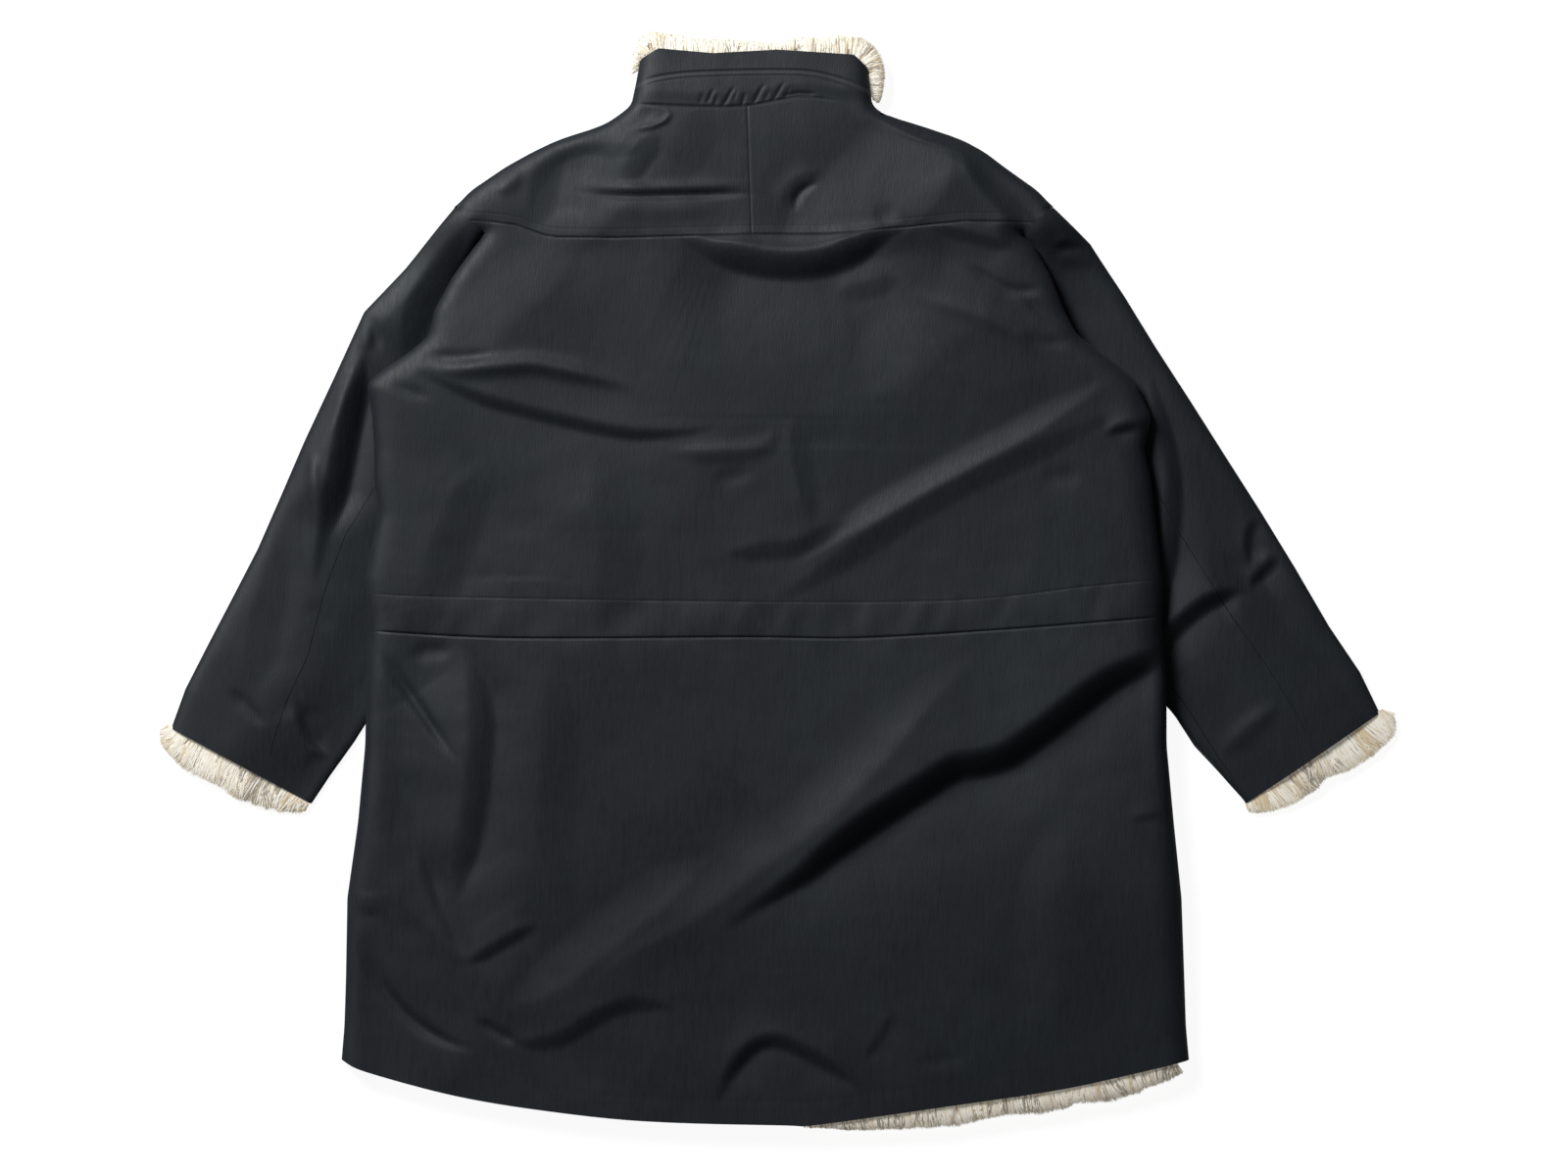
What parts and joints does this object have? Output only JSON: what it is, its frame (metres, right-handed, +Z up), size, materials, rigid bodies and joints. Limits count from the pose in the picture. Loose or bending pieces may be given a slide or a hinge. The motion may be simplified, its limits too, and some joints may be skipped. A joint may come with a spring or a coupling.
{
  "type": "parka",
  "caption": "Mid-length parka laid flat with its back up: funnel collar, back yoke, drawcord waist channel, curved hem and pile trim at collar, cuffs and hem",
  "frame": {"origin": "middle of the bounding box on the surface the parka lies on", "axes": "+X is to the right of the garment as seen from above its back, +Y runs from hem to collar, +Z is up from the surface"},
  "size_m": [1.1656, 1.0313, 0.0412],
  "materials": {
    "shell_cloth": "satin",
    "zip_tape": "matte",
    "pile_trim": "matte"
  },
  "bodies": {
    "root": {"back_skirt": "shell_cloth", "back_body": "shell_cloth", "back_yoke_left": "shell_cloth", "back_yoke_right": "shell_cloth", "collar_lower": "shell_cloth", "collar_zip": "zip_tape", "collar_upper": "shell_cloth", "collar_front": "shell_cloth", "front_left": "shell_cloth", "front_right": "shell_cloth", "front_zip": "zip_tape", "left_upper_sleeve": "shell_cloth", "left_under_sleeve": "shell_cloth", "right_upper_sleeve": "shell_cloth", "right_under_sleeve": "shell_cloth", "collar_fur": "pile_trim", "left_cuff_fur": "pile_trim", "right_cuff_fur": "pile_trim", "hem_fur": "pile_trim"}
  },
  "joints": []
}
